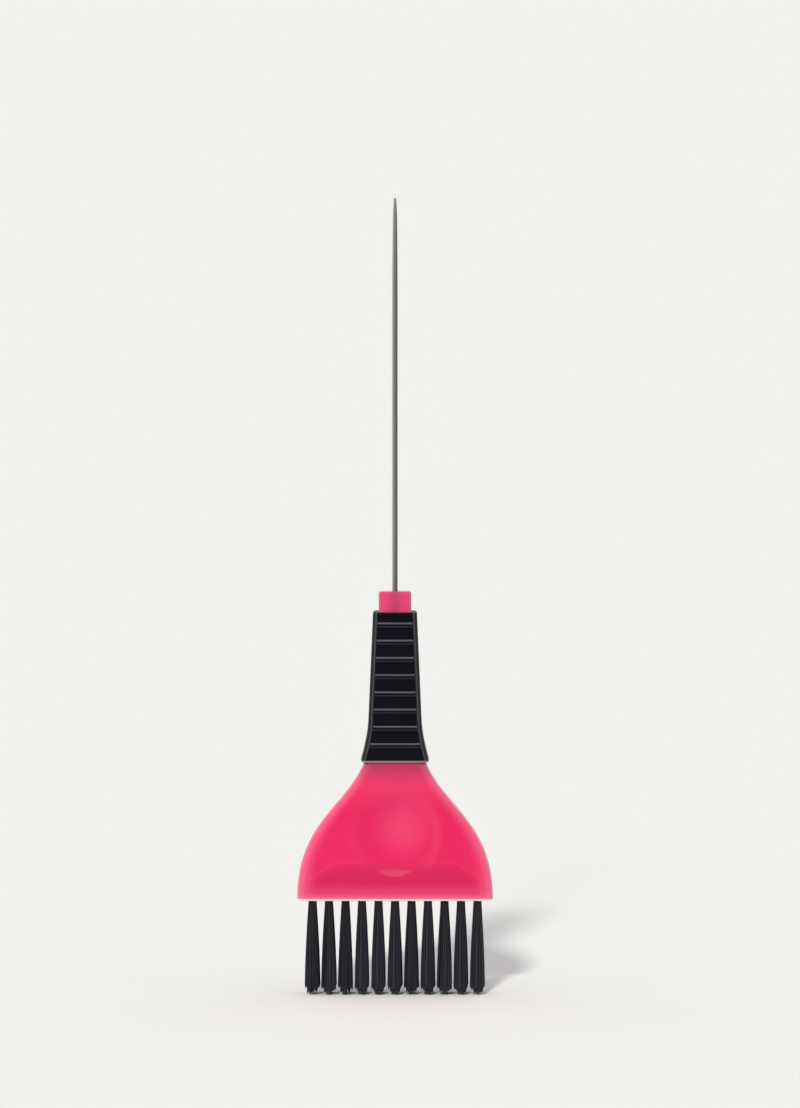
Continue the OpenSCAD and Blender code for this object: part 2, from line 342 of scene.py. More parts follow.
STUB_ROUND = 0.7 * MM
core = core_bar("core", 0, seat_z - CORE_OVERLAP, stub_z)
round_rim(stub_z, STUB_ROUND, 3)
alone(core)
combine(head, core, "UNION")
print("head and core", len(head.data.polygons), "faces")

# %% [markdown]
# ## The pin
# The tail is a steel pin: straight for most of its length, then turned down to a slim, rounded tip
# that parts hair without scratching. A lathe cuts a profile around an axis, and here a disc is
# extruded up and resized at each step of the profile, which is the same idea. The root is thicker
# and grooved, so that the moulding grips it, and stops just under the stub's top.

# %% Turning the pin
PIN_R = 0.75 * MM
ROOT_R = pin_high.x
TIP_R = 0.35 * MM
TAPER = 40 * MM
GROOVE_R = ROOT_R - 0.3 * MM
GROOVES = 3
GROOVE_LEN = 1.2 * MM
GROOVE_SLOPE = 0.1 * MM
ROOT_COVER = 0.8 * MM
ROOT_SLOPE = 0.2 * MM
TAPER_STEPS = 20
TIP_DEGREES = (16, 32, 48, 64, 80)
PIN_SIDES = 32
tip_z = pin_high.z - TIP_R
turned = [(pin_low.z, ROOT_R)]
for i in range(GROOVES):
    groove_z = pin_low.z + GROOVE_LEN * (1 + 2 * i)
    groove_end = groove_z + GROOVE_LEN
    turned += [(groove_z, ROOT_R), (groove_z + GROOVE_SLOPE, GROOVE_R)]
    turned += [(groove_end - GROOVE_SLOPE, GROOVE_R), (groove_end, ROOT_R)]
turned += [(stub_z - ROOT_COVER, ROOT_R), (stub_z - ROOT_COVER + ROOT_SLOPE, PIN_R)]
for i in range(TAPER_STEPS + 1):
    share = i / TAPER_STEPS
    radius = TIP_R + (PIN_R - TIP_R) * math.sqrt(1 - share**3)
    turned.append((tip_z - TAPER * (1 - share), radius))
for degrees in TIP_DEGREES:
    angle = math.radians(degrees)
    turned.append((tip_z + TIP_R * math.sin(angle), TIP_R * math.cos(angle)))


def turn(name, profile, sides):
    """A closed solid of revolution about Z through (height, radius) pairs."""
    bpy.ops.object.select_all(action="DESELECT")
    z, radius = profile[0]
    bpy.ops.mesh.primitive_circle_add(
        vertices=sides, radius=radius, fill_type="NGON", location=(0, 0, z),
    )
    solid = bpy.context.object
    solid.name = solid.data.name = name
    bpy.ops.object.transform_apply(location=True, rotation=True, scale=True)
    bpy.ops.object.mode_set(mode="EDIT")
    bpy.ops.mesh.select_all(action="SELECT")
    for (z0, r0), (z1, r1) in zip(profile, profile[1:]):
        bpy.ops.mesh.extrude_region_move(TRANSFORM_OT_translate={"value": (0, 0, z1 - z0)})
        if abs(r1 - r0) > TINY / 10:
            bpy.ops.transform.resize(value=(r1 / r0, r1 / r0, 1), center_override=(0, 0, z1))
    bpy.ops.object.mode_set(mode="OBJECT")
    return solid


pin = turn("tail_pin", turned, PIN_SIDES)
print("pin", len(pin.data.polygons), "faces, from", pin_low.z, "to", pin_high.z)

# %% [markdown]
# The pin's seat in the moulding is the pin's own shape, so a copy of the pin cuts it. The 33 tuft
# holes come from one cylinder: two Array modifiers repeat it across the columns and the rows.

# %% Cutting the seat and the tuft holes
COLUMNS = 11
ROWS = ["front", "middle", "back"]
HOLE_R = 1.2 * MM
HOLE_DEPTH = 8 * MM
first_low, first_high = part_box("tuft_middle_01")
last_low, last_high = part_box(f"tuft_middle_{COLUMNS:02d}")
first_x = (first_low.x + first_high.x) / 2
column_pitch = ((last_low.x + last_high.x) / 2 - first_x) / (COLUMNS - 1)
row_room = first_high.y
row_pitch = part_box("tuft_back_01")[0].y + row_room

seat_tool = pin.copy()
seat_tool.data = pin.data.copy()
bpy.context.scene.collection.objects.link(seat_tool)
combine(head, seat_tool, "DIFFERENCE")

bpy.ops.object.select_all(action="DESELECT")
bpy.ops.mesh.primitive_cylinder_add(
    vertices=24, radius=HOLE_R, depth=HOLE_DEPTH + MM,
    location=(first_x, -row_pitch, face_z + (HOLE_DEPTH - MM) / 2),
)
hole_tool = bpy.context.object
offsets = ((COLUMNS, (column_pitch, 0, 0)), (len(ROWS), (0, row_pitch, 0)))
for count, offset in offsets:
    apply_modifier(
        hole_tool, "ARRAY", count=count,
        use_relative_offset=False, use_constant_offset=True, constant_offset_displace=offset,
    )
combine(head, hole_tool, "DIFFERENCE")
smooth(head, 32)
smooth(pin, 32)
print("moulding", len(head.data.polygons), "faces")

# %% [markdown]
# A finish can't know how far a point is from the head's outline, and a translucent plastic looks
# paler there because light comes through its thin edge. So the mesh tells it: a number on each
# vertex holds the distance in from the flank.

# %% Distance from the outline, for the finishes
def write_inset(piece, half_width_at):
    """Writes on each vertex how far it lies inside the outline that the front view shows."""
    inset = piece.data.attributes.new("inset", "FLOAT", "POINT")
    for vert, value in zip(piece.data.vertices, inset.data):
        value.value = half_width_at(vert.co.z) - abs(vert.co.x)


FAR_INSIDE = 1.0


def moulding_half_width(z):
    """The head's half width, and above the neck, where no outline is to be painted, a metre."""
    return half_width(max(z, face_z + BASE_ROUND)) if z < seat_z + TINY else FAR_INSIDE


write_inset(head, moulding_half_width)

# %% [markdown]
# ## The sleeve
# A soft sleeve covers the core. It flares at its foot, and each face has a recessed panel with eight
# ribs for the fingers. Modelling the ribs as added bars would leave seams, so the sleeve is one
# tower with a level at every rib's edge, and the pockets between the ribs are pushed in. An arc of
# its corners is cut every 15 degrees, and the panel's rim follows the cut at 60 degrees.

# %% The sleeve's outline
SLEEVE_R = 2.6 * MM
FOOT_HALF_W = 10 * MM
FOOT_HALF_D = 7.4 * MM
TOP_HALF_W = 6.4 * MM
TOP_HALF_D = 5.85 * MM
TAPER_W = 1.85 * MM
TAPER_D = 0.9 * MM
FLARE_LEN = 11.3 * MM
FLARE_POWER = 1.6
RIBS = 8
RIB_H = 1.4 * MM
RIB_START = 2.8 * MM
RIB_END = 4.3 * MM
RIM_W = 1.3 * MM
RIM_H = 0.8 * MM
POCKET_DEPTH = 0.6 * MM
POCKET_SLOPE = 0.18 * MM
FOOT_ROUND = 0.7 * MM
TOP_ROUND = 0.5 * MM
RUBBER_EDGE = 0.2 * MM
LEVEL_GAP = 1.2 * MM
PANEL_MARGIN = 0.05 * MM
SHARP = math.radians(32)
rib_pitch = (sleeve_top_z - seat_z - RIB_START - RIB_END - RIB_H) / (RIBS - 1)


def sleeve_half(z, top, taper, foot):
    """Half width or half thickness of the sleeve at a height: an even taper and then a flare."""
    share = (sleeve_top_z - z) / (sleeve_top_z - seat_z)
    flare = max(0, 1 - (z - seat_z) / FLARE_LEN) ** FLARE_POWER
    return top + taper * share + (foot - top - taper) * flare


def sleeve_half_w(z):
    return sleeve_half(z, TOP_HALF_W, TAPER_W, FOOT_HALF_W)


def sleeve_half_d(z):
    return sleeve_half(z, TOP_HALF_D, TAPER_D, FOOT_HALF_D)


# %% Building the sleeve
rib_tops = [sleeve_top_z - RIB_START - i * rib_pitch for i in range(RIBS)]
pocket_tops = [sleeve_top_z - RIM_H] + [top - RIB_H for top in rib_tops]
pocket_feet = rib_tops + [seat_z + RIM_H]
edges = sorted([seat_z, sleeve_top_z] + pocket_tops + pocket_feet)
levels = [edges[0]]
for low, high in zip(edges, edges[1:]):
    levels += spaced(low, high, max(1, round((high - low) / LEVEL_GAP)))
sleeve_sections = [(z, sleeve_half_w(z), sleeve_half_d(z)) for z in levels]
sleeve = tower("grip_rubber", sleeve_sections, SLEEVE_R, ARC_STEPS)


def in_panel(at):
    """True for a place on the sleeve that lies between the panel's side rims."""
    return abs(at.x) < sleeve_half_w(at.z) - RIM_W - PANEL_MARGIN


for side in (-1, 1):
    for top, foot in zip(pocket_tops, pocket_feet):
        pick(
            "FACE",
            lambda face, at: foot < at.z < top and face.normal.y * side > 0.5 and in_panel(at),
        )
        bpy.ops.mesh.inset(thickness=POCKET_SLOPE, depth=-POCKET_DEPTH)
round_rim(seat_z, FOOT_ROUND, 4)
round_rim(sleeve_top_z, TOP_ROUND, 3)
apply_modifier(
    sleeve, "BEVEL", width=RUBBER_EDGE, segments=3, limit_method="ANGLE", angle_limit=SHARP,
)
bore_tool = core_bar("bore", SLEEVE_FIT, seat_z - MM, sleeve_top_z + MM)
alone(bore_tool)
combine(sleeve, bore_tool, "DIFFERENCE")
smooth(sleeve, 40)
write_inset(sleeve, sleeve_half_w)
print("sleeve", len(sleeve.data.polygons), "faces")

# %% [markdown]
# ## The bristles
# Each tuft is a bundle of nylon filaments, folded in half over a flat wire and driven into its hole.
# One filament is modelled: a five-sided thread, slimmer towards its tip. Copies stand side by side
# in the hole, and a lattice cage around the bundle then lets it spread. The cage is narrower on the
# sides that face another row, because neighbouring rows press on each other.

# %% One filament
FILAMENTS = 84
FILAMENT_R = 0.125 * MM
FILAMENT_SIDES = 5
HELD_LEN = 6 * MM
WALL_GAP = 0.03 * MM
ROW_GAP = 0.06 * MM
ROOT_Z = face_z + HELD_LEN
SPREAD_HALF_W = 2.14 * MM
SPREAD_POWER = 1.9
ROW_HALF_W = row_room - ROW_GAP
packed_r = HOLE_R - FILAMENT_R - WALL_GAP


def spread(z, half):
    """How much wider than in its hole a bundle is at a height, for its half width at the tips."""
    opened = 1 - min(1, z / face_z) ** SPREAD_POWER
    return 1 + (half / packed_r - 1) * opened


# Heights in millimetres, and the filament's girth there as a share of its usual one
GIRTHS = [(0, 0.6), (0.6, 1.1), (2.6, 1.1), (7, 1.1), (12, 1), (18, 1), (27.5, 0.9), (33.5, 0.9)]
filament_profile = []
for height, girth in GIRTHS:
    z = height * MM
    widened = math.sqrt(spread(z, SPREAD_HALF_W) * spread(z, ROW_HALF_W))
    filament_profile.append((z, girth * FILAMENT_R / widened))
filament = turn("filament", filament_profile, FILAMENT_SIDES)

# %% [markdown]
# The sunflower rule spaces the copies evenly over the round hole. Filaments that have been wetted
# and combed cling together, so the bundle is divided into strips side by side. Each filament leans
# towards its strip's middle and ends higher the further it is from it, which makes a ragged end of
# small points. The filaments at the outside end higher still. The random numbers are seeded, so
# every run makes the same brush.

# %% A bundle of filaments
GOLDEN = math.radians(137.508)
STRIPS = 6
STRIP_PULL = 0.5
STRIP_RISE = 1.2 * MM
POINT_RISE = 0.9 * MM
OUTER_RISE = 1.7 * MM
LENGTH_ERROR = 0.12 * MM
LEAN_BACK = 0.004
LEAN_ASIDE = 0.003
CAGE_ROWS = 12


def sunflower(i, count, start=0.0):
    """The place of point i of count spread evenly over a disc of radius 1."""
    reach = math.sqrt((i + 0.5) / count)
    angle = start + i * GOLDEN
    return Vector((reach * math.cos(angle), reach * math.sin(angle), 0))


def bundle(name, seed, front_half, back_half):
    """A tuft standing on Z = 0 around the Z axis, which spreads to a given half on each face."""
    chance = random.Random(seed)
    strips = []
    for i in range(STRIPS):
        middle_x = -1 + (2 * i + 1 + chance.uniform(-0.4, 0.4)) / STRIPS
        strips.append((middle_x, chance.uniform(0, STRIP_RISE)))
    threads = []
    for i in range(FILAMENTS):
        spot = sunflower(i, FILAMENTS, chance.uniform(-0.2, 0.2))
        middle_x, strip_tip = min(strips, key=lambda strip: abs(strip[0] - spot.x))
        to_middle = middle_x - spot.x
        point = POINT_RISE * (to_middle * STRIPS) ** 2 + abs(chance.gauss(0, LENGTH_ERROR))
        tip = OUTER_RISE * spot.length**2.4 + strip_tip * (0.3 + 0.7 * abs(middle_x)) + point
        lean_x = chance.gauss(0, LEAN_BACK)
        lean_y = chance.gauss(0, LEAN_ASIDE) - to_middle * STRIP_PULL * packed_r / ROOT_Z
        place = Matrix.Translation(spot * packed_r + Vector((0, 0, ROOT_Z)))
        lean = Matrix.Rotation(lean_x, 4, "X") @ Matrix.Rotation(lean_y, 4, "Y")
        turned_by = Matrix.Rotation(chance.uniform(0, math.tau), 4, "Z")
        length = Matrix.Scale((ROOT_Z - tip) / ROOT_Z, 4, (0, 0, 1))
        mesh = filament.data.copy()
        mesh.transform(place @ lean @ length @ turned_by @ Matrix.Translation((0, 0, -ROOT_Z)))
        shade = mesh.attributes.new("shade", "FLOAT", "POINT")
        tone = chance.random()
        for value in shade.data:
            value.value = tone
        thread = bpy.data.objects.new("thread", mesh)
        bpy.context.scene.collection.objects.link(thread)
        threads.append(thread)
    alone(threads[0])
    for thread in threads:
        thread.select_set(True)
    bpy.ops.object.join()
    tuft = bpy.context.object
    tuft.name = tuft.data.name = name
    bpy.ops.object.transform_apply(location=True, rotation=True, scale=True)
    bpy.ops.object.add(type="LATTICE", location=(0, 0, ROOT_Z / 2))
    cage = bpy.context.object
    cage.data.points_u = cage.data.points_v = 2
    cage.data.points_w = CAGE_ROWS
    cage.data.interpolation_type_u = cage.data.interpolation_type_v = "KEY_LINEAR"
    cage.data.interpolation_type_w = "KEY_LINEAR"
    cage.scale = (2 * packed_r, 2 * packed_r, ROOT_Z)
    for point in cage.data.points:
        z = (point.co_deform.z + 0.5) * ROOT_Z
        side_half = front_half if point.co_deform.y < 0 else back_half
        point.co_deform.x *= spread(z, SPREAD_HALF_W)
        point.co_deform.y *= spread(z, side_half)
    apply_modifier(tuft, "LATTICE", object=cage)
    bpy.data.objects.remove(cage)
    return tuft


# %% Tufts for every hole
VARIANTS = 4
OUTER_SEED = 10
INNER_SEED = 50
ORDER_SEED = 7
outer = []
inner = []
for i in range(VARIANTS):
    outer.append(bundle(f"outer_{i}", OUTER_SEED + i, SPREAD_HALF_W, ROW_HALF_W))
for i in range(VARIANTS):
    inner.append(bundle(f"inner_{i}", INNER_SEED + i, ROW_HALF_W, ROW_HALF_W))
bpy.data.objects.remove(filament)
order = random.Random(ORDER_SEED)
tufts = []
for row, row_name in enumerate(ROWS):
    for column in range(1, COLUMNS + 1):
        model = order.choice(inner if row_name == "middle" else outer)
        turned_round = row_name == "back" or (row_name == "middle" and order.random() < 0.5)
        half_turn = math.pi if turned_round else 0
        mesh = model.data.copy()
        x = first_x + (column - 1) * column_pitch
        place = Matrix.Translation((x, (row - 1) * row_pitch, 0))
        mesh.transform(place @ Matrix.Rotation(half_turn, 4, "Z"))
        mesh.name = f"bristles_{row_name}_{column:02d}"
        tuft = bpy.data.objects.new(mesh.name, mesh)
        bpy.context.scene.collection.objects.link(tuft)
        smooth(tuft, 80)
        tufts.append((tuft, row_name, f"tuft_{row_name}_{column:02d}"))
for model in outer + inner:
    bpy.data.objects.remove(model)
print(len(tufts), "tufts of", FILAMENTS, "filaments,", len(tufts[0][0].data.polygons), "faces each")

# %% [markdown]
# ## Riding on the CAD bodies
# The head, the sleeve and the pin follow the handle's body of the CAD model. The bristles are held
# at the tuft face and keep their places in the frame, and the CAD tufts they stand in for are hidden.

# %% Bodies and stand-ins
for piece, node, slot in (
    (head, "brush_body", "pink_moulding"),
    (sleeve, "grip_sleeve", "soft_grip"),
    (pin, "pin_tail", "pin_steel"),
):
    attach(piece, "handle")
    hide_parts(node)
for tuft, row_name, node in tufts:
    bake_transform(tuft)
    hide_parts(node)

# %% [markdown]
# ## Writing finishes as formulas
# A node material is a formula drawn as boxes. Python can write the formula instead: `Value` wraps a
# node's output, and adding or multiplying two of them adds the Math node. `Sheet` is the node tree,
# with one method that makes any other node from its type, its settings and its sockets.

# %% Shader formulas
class Value:
    """A node's output that can be used in arithmetic."""

    def __init__(self, sheet, socket):
        self.sheet = sheet
        self.socket = socket

    def math(self, operation, first, second):
        return self.sheet.node("ShaderNodeMath", {"operation": operation}, {0: first, 1: second})

    def __add__(self, other):
        return self.math("ADD", self, other)

    def __mul__(self, other):
        return self.math("MULTIPLY", self, other)

    def __sub__(self, other):
        return self.math("SUBTRACT", self, other)

    def __rsub__(self, other):
        return self.math("SUBTRACT", other, self)

    def __truediv__(self, other):
        return self.math("DIVIDE", self, other)

    def __mod__(self, other):
        return self.math("FLOORED_MODULO", self, other)

    def __abs__(self):
        return self.math("ABSOLUTE", self, 0)

    __radd__ = __add__
    __rmul__ = __mul__

    def ramp(self, low, high):
        """0 below low, 1 above high and an even S between; or the other way round if low is higher."""
        falling = low > high
        settings = {"interpolation_type": "SMOOTHSTEP"}
        ends = {"From Min": min(low, high), "From Max": max(low, high)}
        ends.update({"To Min": 1.0 if falling else 0.0, "To Max": 0.0 if falling else 1.0})
        return self.sheet.node("ShaderNodeMapRange", settings, {"Value": self, **ends})


class Sheet:
    """A node tree, and the one way to add a node to it."""

    def __init__(self, tree):
        self.tree = tree
        tree.nodes.clear()

    def node(self, kind, settings, sockets, output=0):
        made = self.tree.nodes.new(kind)
        for name, setting in settings.items():
            setattr(made, name, setting)
        for name, value in sockets.items():
            if isinstance(value, Value):
                self.tree.links.new(value.socket, made.inputs[name])
            else:
                made.inputs[name].default_value = value
        return Value(self, made.outputs[output]) if len(made.outputs) else None

    def mix(self, share, colour, other):
        """Colour where share is 0 and other where it is 1."""
        return self.node("ShaderNodeMix", {"data_type": "RGBA"}, {0: share, 6: colour, 7: other}, 2)

    def places(self):
        """X, Y and Z of the point on the piece, in metres."""
        where = self.node("ShaderNodeTexCoord", {}, {}, "Object")
        return [self.node("ShaderNodeSeparateXYZ", {}, {0: where}, i) for i in range(3)]

    def noise(self, scale, stretch=(1, 1, 1), detail=2.0):
        """Cloudy noise from 0 to 1, with its grain drawn out along an axis where stretch is small."""
        where = self.node("ShaderNodeTexCoord", {}, {}, "Object")
        drawn = self.node("ShaderNodeMapping", {}, {"Vector": where, "Scale": stretch})
        return self.node("ShaderNodeTexNoise", {}, {"Vector": drawn, "Scale": scale, "Detail": detail})

    def distance(self, across, up):
        """How far a point is from a middle, for its offsets from it along two axes."""
        return self.node("ShaderNodeMath", {"operation": "SQRT"}, {0: across * across + up * up})

    def bump(self, height, distance, strength):
        """A normal that a height pattern has disturbed."""
        sockets = {"Height": height, "Distance": distance, "Strength": strength}
        return self.node("ShaderNodeBump", {}, sockets)


def finish_of(name, build, **constants):
    """A material whose shader takes its constant sockets here and its varying ones from build."""
    material = bpy.data.materials.new(name)
    material.use_nodes = True
    sheet = Sheet(material.node_tree)
    sockets = {key.replace("_", " "): value for key, value in constants.items()}
    sockets.update(build(sheet))
    shader = sheet.node("ShaderNodeBsdfPrincipled", {}, sockets)
    sheet.node("ShaderNodeOutputMaterial", {}, {"Surface": shader})
    return material


def dress(piece, material):
    """Gives a piece one material, in place of any that it had."""
    piece.data.materials.clear()
    piece.data.materials.append(material)


# %% [markdown]
# ## Pink plastic
# The moulding is a translucent pink. Light comes through its thin edges, so the outline is paler,
# and that light is painted into the colour. The black tufts in their holes show through above the
# tuft face as a deeper band with an arched upper edge, and the core is deeper where the pin runs
# inside it. Painted light also pales the thumb rest and the base, painted highlights run along the
# rest's rim, the arches and the tuft face's lip, and painted shade darkens the rest's foot and the
# neck. All of this is painted on the object's own coordinates. The gloss is high, with a faint
# unevenness from the mould, and the foot of each thumb rest mirrors the lamp as a pale crescent.

# %% Pink plastic
HEAD_H = 40.5 * MM
# The pale line colour is for painted highlights; the deep colour is for the band where the tufts show
# through and for painted shade
HIGHLIGHT_LINE = (0.66, 0.065, 0.140, 1)
DEEP_BAND_AND_SHADE = (0.440, 0.0135, 0.064, 1)


def pink_plastic(sheet):
    x, y, z = sheet.places()
    inside = sheet.node("ShaderNodeAttribute", {"attribute_name": "inset"}, {}, "Fac")
    height = z - face_z
    cloud = sheet.noise(90, detail=3.0)
    body = sheet.mix(cloud, (0.550, 0.0110, 0.070, 1), (0.610, 0.018, 0.092, 1))
    # Painted light makes the thumb rest paler, and a painted highlight runs faintly along its edge
    from_rest_light = sheet.distance(x - 2.5 * MM, z - rest_z - 2 * MM)
    body = sheet.mix(from_rest_light.ramp(11 * MM, 1 * MM) * 0.8, body, (0.640, 0.046, 0.128, 1))
    rest_rim_highlight = abs(sheet.distance(x, z - rest_z) - 12.2 * MM).ramp(2.4 * MM, 0.2 * MM)
    body = sheet.mix(rest_rim_highlight * (0.08 + x.ramp(0, 14 * MM) * 0.16), body, HIGHLIGHT_LINE)
    # Deeper band over the tuft holes, with one arch on each side
    arch = (abs(x) - 15 * MM) / (15 * MM)
    outer_fall = abs(x).ramp(15 * MM, 29 * MM) * (5.5 * MM)
    band_top = 10.8 * MM - arch * arch * (2.2 * MM) - outer_fall
    band = (height - band_top).ramp(2.0 * MM, -3.2 * MM)
    in_rest = sheet.distance(x, z - rest_z).ramp(13.4 * MM, 12.4 * MM)
    rest_foot_shade = in_rest * height.ramp(13.5 * MM, 9.5 * MM)
    body = sheet.mix(band * 0.62, body, DEEP_BAND_AND_SHADE)
    # A painted highlight runs along the arches' upper edge
    arch_highlight = abs(height - band_top - 0.8 * MM).ramp(0.9 * MM, 0.1 * MM)
    body = sheet.mix(arch_highlight * 0.14, body, HIGHLIGHT_LINE)
    # Painted shade darkens the lower part of the thumb rest
    body = sheet.mix(rest_foot_shade * 0.45, body, DEEP_BAND_AND_SHADE)
    # Painted light from the thin edges makes the outline paler, wider at the base than at the neck,
    # and paler still on the side faces
    reach = 2.6 * MM + (1 - height / HEAD_H) * (2.4 * MM)
    glow = (inside / reach).ramp(1.3, -0.4)
    body = sheet.mix(glow * 0.9, body, (0.655, 0.100, 0.200, 1))
    side = inside.ramp(1.0 * MM, 0.1 * MM)
    body = sheet.mix(side * 0.8, body, (0.86, 0.110, 0.235, 1))
    # Painted light pales the base and its edge, and a near-white painted highlight lies on the lip
    base_glow = height.ramp(6.0 * MM, 0.3 * MM)
    body = sheet.mix(base_glow * 0.55, body, (0.66, 0.080, 0.185, 1))
    base_edge = height.ramp(2.4 * MM, 0.4 * MM)
    body = sheet.mix(base_edge * 0.6, body, (0.72, 0.140, 0.240, 1))
    lip = height.ramp(0.9 * MM, 0.4 * MM)
    body = sheet.mix(lip * 0.9, body, (0.88, 0.70, 0.72, 1))
    # The shoulders are paler, painted shade darkens the neck under the sleeve, and the pin shows
    # through the stub
    shoulders = height.ramp(25 * MM, 35 * MM)
    body = sheet.mix(shoulders * 0.24, body, (0.62, 0.070, 0.150, 1))
    neck = height.ramp(33.5 * MM, 41.0 * MM)
    body = sheet.mix(neck * (0.75 - side * 0.5), body, (0.235, 0.033, 0.070, 1))
    stub = z.ramp(sleeve_top_z - MM, sleeve_top_z)
    body = sheet.mix(stub, body, (0.51, 0.043, 0.126, 1))
    pin_shade = abs(x).ramp(2.6 * MM, 0.2 * MM) * stub
    body = sheet.mix(pin_shade * 0.75, body, (0.36, 0.038, 0.090, 1))
    grain = sheet.noise(1500, detail=1.0)
    wave = sheet.noise(160, detail=1.0)
    return {
        "Base Color": body,
        "Roughness": 0.045 + cloud * 0.05,
        "Normal": sheet.bump(wave + grain * 0.1, 0.03 * MM, 0.2),
    }


pink = finish_of("pink_moulding", pink_plastic, IOR=1.5, Subsurface_Weight=0.2, Subsurface_Scale=0.003)
dress(head, pink)

# %% [markdown]
# ## Rubber
# The sleeve is a soft, nearly black rubber with a cold tone. A black object shows little but its
# gloss, so the finish is mostly roughness and grain. A repeating formula along Z paints a highlight
# on each rib's upper edge and a fainter one on its lower edge. Painted highlights also lie along the
# panel's side rims and the foot's lip, with a painted pink reflection on the foot's lowest edge.

# %% Black rubber
def black_rubber(sheet):
    _, y, z = sheet.places()
    inside = sheet.node("ShaderNodeAttribute", {"attribute_name": "inset"}, {}, "Fac")
    blotch = sheet.noise(220, detail=3.0)
    grain = sheet.noise(2600, detail=2.0)
    body = sheet.mix(blotch, (0.0012, 0.0018, 0.0042, 1), (0.0026, 0.0034, 0.0072, 1))
    faces = abs(y).ramp(4.6 * MM, 5.2 * MM)
    panel = inside.ramp(RIM_W, RIM_W + 0.3 * MM)
    # Painted highlights on each rib's upper edge and, fainter, on its lower edge, by a formula that
    # repeats along Z
    below_rib = (sleeve_top_z - RIB_START - z) % rib_pitch
    upper_edge = abs(below_rib - 0.12 * MM).ramp(0.55 * MM, 0.15 * MM)
    lower_edge = abs(below_rib - RIB_H + 0.1 * MM).ramp(0.4 * MM, 0.1 * MM)
    above_foot = z.ramp(seat_z + 3.4 * MM, seat_z + 3.8 * MM)
    ribbed = above_foot * z.ramp(sleeve_top_z - 2.2 * MM, sleeve_top_z - 2.4 * MM)
    rib_edge_highlights = (upper_edge * (0.7 + blotch * 0.5) + lower_edge * 0.22) * faces * panel * ribbed
    body = sheet.mix(rib_edge_highlights, body, (0.078, 0.072, 0.078, 1))
    # A painted highlight lies along the panel's side rims
    rim = abs(inside - 1.0 * MM).ramp(0.38 * MM, 0.05 * MM) * faces
    body = sheet.mix(rim * 0.8, body, (0.056, 0.053, 0.054, 1))
    # A painted highlight lies on the foot's lip, with a painted pink reflection on its lowest edge
    foot_lip_highlight = z.ramp(seat_z + 0.75 * MM, seat_z + 0.4 * MM)
    body = sheet.mix(foot_lip_highlight * 0.8, body, (0.25, 0.195, 0.185, 1))
    foot_edge_reflection = z.ramp(seat_z + 0.42 * MM, seat_z + 0.25 * MM)
    body = sheet.mix(foot_edge_reflection, body, (0.36, 0.20, 0.21, 1))
    return {
        "Base Color": body,
        "Roughness": 0.38 + blotch * 0.12,
        "Normal": sheet.bump(grain, 0.02 * MM, 0.5),
    }


rubber = finish_of("soft_grip", black_rubber, IOR=1.45, Specular_IOR_Level=0.18)
dress(sleeve, rubber)

# %% [markdown]
# ## Steel
# The pin's wire is drawn through a die, which leaves fine scratches along it. Noise that is stretched
# almost a hundredfold along Z gives those scratches, in the roughness and in the bump, and a slower
# noise leaves faint handling marks. A round bar mirrors all that stands beside it, and this room is
# bright on every side, so the dark lines that a pin would mirror among darker things are painted
# along its flanks. A darker specular tint keeps grazing reflections from washing its outline out.
# The flat wires in the tufts are steel too, a little duller.

# %% Drawn steel
def drawn_steel(sheet):
    x, _, _ = sheet.places()
    scratches = sheet.noise(5200, (1, 1, 0.012), 3.0)
    marks = sheet.noise(120, (1, 1, 0.5), 3.0)
    body = sheet.mix(scratches * 0.6 + marks * 0.4, (0.42, 0.385, 0.36, 1), (0.80, 0.745, 0.70, 1))
    left_flank = x.ramp(-0.3 * MM, -0.7 * MM)
    body = sheet.mix(left_flank * 0.85, body, (0.14, 0.128, 0.120, 1))
    right_flank = x.ramp(0.1 * MM, 0.5 * MM)
    body = sheet.mix(right_flank * 0.9, body, (0.050, 0.046, 0.044, 1))
    return {
        "Base Color": body,
        "Roughness": 0.26 + scratches * 0.16 + marks * 0.08,
        "Normal": sheet.bump(scratches, 0.006 * MM, 0.6),
    }


steel = finish_of("pin_steel", drawn_steel, Metallic=1.0, Specular_Tint=(0.35, 0.33, 0.31, 1))
dress(pin, steel)


def wire_steel(sheet):
    marks = sheet.noise(900, detail=3.0)
    body = sheet.mix(marks, (0.50, 0.47, 0.43, 1), (0.66, 0.64, 0.60, 1))
    return {
        "Base Color": body,
        "Roughness": 0.35 + marks * 0.2,
        "Normal": sheet.bump(marks, 0.01 * MM, 0.5),
    }


wire = finish_of("anchor_wire", wire_steel, Metallic=1.0)
for row_name in ROWS:
    for material_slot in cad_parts[f"anchors_{row_name}"].material_slots:
        material_slot.material = wire

# %% [markdown]
# ## Nylon
# Dyed nylon is charcoal with a soft sheen. Each filament carries its own tone, which was written on
# the mesh when the bundle was made, and gets slightly paler towards its ground tip.

# %% Charcoal nylon
def charcoal_nylon(sheet):
    _, _, z = sheet.places()
    tone = sheet.node("ShaderNodeAttribute", {"attribute_name": "shade"}, {}, "Fac")
    streak = sheet.noise(1800, (1, 1, 0.03), 2.0)
    dark = (0.0055, 0.0052, 0.0078, 1)
    light = (0.0245, 0.0230, 0.0315, 1)
    body = sheet.mix(tone * 0.7 + streak * 0.3, dark, light)
    tip = z.ramp(3.0 * MM, 0.2 * MM)
    body = sheet.mix(tip * 0.25, body, (0.035, 0.034, 0.037, 1))
    return {
        "Base Color": body,
        "Roughness": 0.42 + tone * 0.16,
        "Normal": sheet.bump(streak, 0.02 * MM, 0.4),
    }


nylon = finish_of("bristle_nylon", charcoal_nylon, IOR=1.53, Specular_IOR_Level=0.3)
for tuft, _, _ in tufts:
    dress(tuft, nylon)

